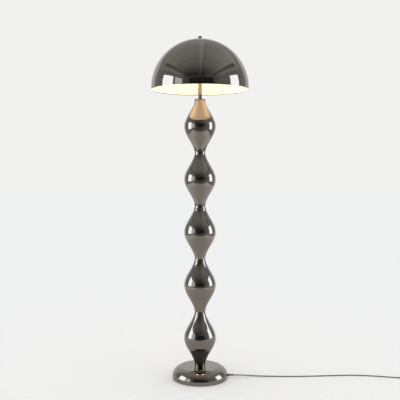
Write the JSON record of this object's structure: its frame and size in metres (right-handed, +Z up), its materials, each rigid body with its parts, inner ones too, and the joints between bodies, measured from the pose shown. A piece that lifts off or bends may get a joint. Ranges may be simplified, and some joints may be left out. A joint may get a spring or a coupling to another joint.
{
  "type": "mushroom floor lamp",
  "caption": "Floor lamp with a half-ball metal shade on a column of stacked rounded bulges and a weighted round base, with a cord, foot switch and plug.",
  "frame": {"origin": "on the floor under the middle of the base", "axes": "+Z up along the column, +X the way the cord leaves the base, -Y towards the viewer"},
  "size_m": [1.3365, 0.43, 1.5],
  "materials": {
    "dark_chrome": "dark chrome plate, mirror bright",
    "shade_metal": "dark chrome outside, warm white enamel inside",
    "black_felt": "pressed felt",
    "zinc_steel": "zinc-plated steel",
    "raw_iron": "cast surface, black wash",
    "white_nylon": "moulded nylon",
    "cluster_enamel": "white stove enamel",
    "black_bakelite": "black phenolic moulding",
    "white_porcelain": "glazed porcelain",
    "contact_brass": "bare brass",
    "bulb_cap_metal": "pressed, dull",
    "bulb_opal_glass": "opal glass, lit",
    "grey_cord": "smooth sheath",
    "wire_insulation": "smooth sheath",
    "black_rubbery_plastic": "fine moulded grain",
    "dark_grey_plastic": "fine moulded grain",
    "nickel_pins": "nickel-plated brass"
  },
  "bodies": {
    "lamp": {"base_cover": "dark_chrome", "base_pad": "black_felt", "base_plate": "zinc_steel", "base_washer": "zinc_steel", "base_weight": "raw_iron", "centre_contact_left": "contact_brass", "centre_contact_right": "contact_brass", "centring_disc_1": "white_nylon", "centring_disc_2": "white_nylon", "centring_disc_3": "white_nylon", "centring_disc_4": "white_nylon", "cluster_cup": "cluster_enamel", "cluster_lid": "cluster_enamel", "column_bulge_1": "dark_chrome", "column_bulge_2": "dark_chrome", "column_bulge_3": "dark_chrome", "column_bulge_4": "dark_chrome", "column_bulge_5": "dark_chrome", "column_cap": "dark_chrome", "cord_coil": "grey_cord", "cord_grommet": "black_rubbery_plastic", "cord_lead": "grey_cord", "cord_run": "grey_cord", "holder_insert_left": "white_porcelain", "holder_insert_right": "white_porcelain", "holder_wires": "wire_insulation", "inner_lead": "grey_cord", "lampholder_left": "black_bakelite", "lampholder_right": "black_bakelite", "lower_pipe": "zinc_steel", "neck_ring": "dark_chrome", "pipe_coupler": "zinc_steel", "pipe_nuts": "zinc_steel", "plate_screws": "zinc_steel", "plug_body": "dark_grey_plastic", "plug_pins": "nickel_pins", "plug_sleeve": "black_rubbery_plastic", "rod_nuts": "zinc_steel", "screw_shell_left": "contact_brass", "screw_shell_right": "contact_brass", "shade_rod": "zinc_steel", "shade_seat": "white_nylon", "side_nipples": "zinc_steel", "switch_contacts": "white_nylon", "switch_cover": "dark_grey_plastic", "switch_screws": "zinc_steel", "switch_spring": "zinc_steel", "switch_tray": "dark_grey_plastic", "upper_pipe": "zinc_steel", "upper_tube": "dark_chrome"},
    "shade": {"shade": "shade_metal"},
    "finial": {"finial_knob": "dark_chrome"},
    "bulb_left": {"bulb_cap_left": "bulb_cap_metal", "bulb_glass_left": "bulb_opal_glass"},
    "bulb_right": {"bulb_cap_right": "bulb_cap_metal", "bulb_glass_right": "bulb_opal_glass"},
    "button": {"switch_button": "black_rubbery_plastic"}
  },
  "joints": [
    {"name": "shade_turn", "type": "hinge", "parent": "lamp", "child": "shade", "pos_m": [0, 0, 1.4], "axis": [0, 0, 1], "continuous": true},
    {"name": "finial_turn", "type": "hinge", "parent": "lamp", "child": "finial", "pos_m": [0, 0, 1.49], "axis": [0, 0, 1], "continuous": true},
    {"name": "bulb_left_screw", "type": "hinge", "parent": "lamp", "child": "bulb_left", "pos_m": [-0.09, 0, 1.329], "axis": [-1, 0, 0], "continuous": true},
    {"name": "bulb_right_screw", "type": "hinge", "parent": "lamp", "child": "bulb_right", "pos_m": [0.09, 0, 1.329], "axis": [1, 0, 0], "continuous": true},
    {"name": "button_press", "type": "slide", "parent": "lamp", "child": "button", "axis": [0, 0, -1], "range_m": [0, 0.003], "stiffness_N_per_m": 300, "springref_m": -0.003, "deforming": ["switch_spring"]}
  ]
}
